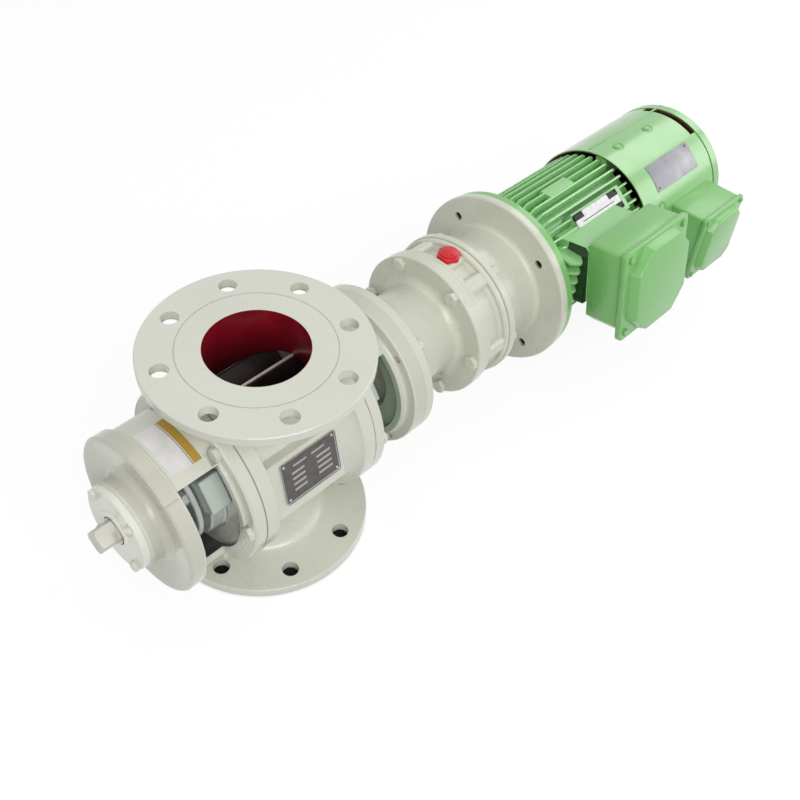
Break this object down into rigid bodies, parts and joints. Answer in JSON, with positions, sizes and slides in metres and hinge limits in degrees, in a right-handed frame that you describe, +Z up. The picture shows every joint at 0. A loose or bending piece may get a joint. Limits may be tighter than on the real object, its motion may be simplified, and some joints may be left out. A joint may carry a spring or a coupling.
{
  "type": "rotary airlock valve",
  "caption": "Rotary airlock valve: vaned rotor between round flanged ports, outboard bearing and a cycloidal gear motor with forced ventilation on its shaft.",
  "frame": {"origin": "centre of the outlet flange's face, the plane of its bolt holes", "axes": "+Z up through the ports to the inlet, +X along the rotor shaft to the motor, -Y towards the terminal boxes"},
  "size_m": [0.8916, 0.2688, 0.236],
  "materials": {
    "valve_paint": "satin",
    "gasket": "matt",
    "gland_paint": "satin",
    "bearing_steel": "ground",
    "seal_rubber": "matt",
    "machined_steel": "machined",
    "bright_shaft": "ground",
    "reducer_paint": "semi-gloss",
    "red_plastic": "gloss",
    "motor_paint": "semi-gloss",
    "stator_core": "varnished",
    "black_plastic": "moulded"
  },
  "bodies": {
    "casing": {"housing": "valve_paint", "outboard_cover": "valve_paint", "drive_cover": "valve_paint", "outboard_gasket": "gasket", "drive_gasket": "gasket", "outboard_cover_bolts": "valve_paint", "drive_cover_bolts": "valve_paint", "outboard_packing": "gasket", "drive_packing": "gasket", "outboard_gland": "gland_paint", "drive_gland": "gland_paint", "outboard_gland_studs": "gland_paint", "drive_gland_studs": "gland_paint", "outboard_bearing_outer": "bearing_steel", "bearing_cap": "valve_paint", "bearing_cap_bolts": "valve_paint", "shaft_seal": "seal_rubber", "reducer_housing": "reducer_paint", "foot_bolts": "reducer_paint", "output_bearing_outers": "bearing_steel", "output_seal": "seal_rubber", "ring_housing": "reducer_paint", "ring_pins": "bearing_steel", "case_bolts": "reducer_paint", "breather_plug": "red_plastic", "drain_plug": "reducer_paint", "motor_adapter": "reducer_paint", "input_seal": "seal_rubber", "motor_flange": "motor_paint", "motor_flange_bolts": "motor_paint", "motor_frame": "motor_paint", "stator": "stator_core", "motor_bearing_outers": "bearing_steel", "rear_shield": "motor_paint", "fan_cover": "motor_paint", "fan_cover_screws": "motor_paint", "fan_motor": "black_plastic", "terminal_box": "motor_paint", "terminal_lid": "motor_paint", "terminal_lid_screws": "motor_paint", "terminal_block": "black_plastic", "fan_terminal_box": "motor_paint", "fan_terminal_lid": "motor_paint"},
    "rotor_group": {"rotor": "machined_steel", "rotor_shaft": "bright_shaft", "rotor_keys": "machined_steel", "outboard_bearing_inner": "bearing_steel", "outboard_bearing_balls": "bearing_steel", "output_shaft": "machined_steel", "output_pins": "bearing_steel", "output_rollers": "bearing_steel", "output_bearing_inners": "bearing_steel"},
    "motor_shaft_group": {"motor_shaft": "machined_steel", "motor_rotor": "machined_steel", "motor_bearing_inners": "bearing_steel", "eccentric_sleeve": "machined_steel", "eccentric_rollers": "bearing_steel"},
    "disc_a": {"cycloid_disc_a": "machined_steel"},
    "disc_b": {"cycloid_disc_b": "machined_steel"},
    "fan": {"cooling_fan": "black_plastic"}
  },
  "joints": [
    {"name": "rotor_spin", "type": "hinge", "parent": "casing", "child": "rotor_group", "pos_m": [0, 0, 0.118], "axis": [1, 0, 0], "continuous": true},
    {"name": "motor_spin", "type": "hinge", "parent": "casing", "child": "motor_shaft_group", "pos_m": [0.3, 0, 0.118], "axis": [1, 0, 0], "continuous": true},
    {"name": "disc_a_spin", "type": "hinge", "parent": "motor_shaft_group", "child": "disc_a", "pos_m": [0.258, 0.0015, 0.118], "axis": [1, 0, 0], "continuous": true},
    {"name": "disc_b_spin", "type": "hinge", "parent": "motor_shaft_group", "child": "disc_b", "pos_m": [0.273, -0.0015, 0.118], "axis": [1, 0, 0], "continuous": true},
    {"name": "cooling_fan_spin", "type": "hinge", "parent": "casing", "child": "fan", "pos_m": [0.609, 0, 0.118], "axis": [1, 0, 0], "continuous": true}
  ],
  "couplings": [
    {"joint": "motor_spin", "follows": "rotor_spin", "ratio": -17},
    {"joint": "disc_a_spin", "follows": "rotor_spin", "ratio": 18},
    {"joint": "disc_b_spin", "follows": "rotor_spin", "ratio": 18}
  ]
}
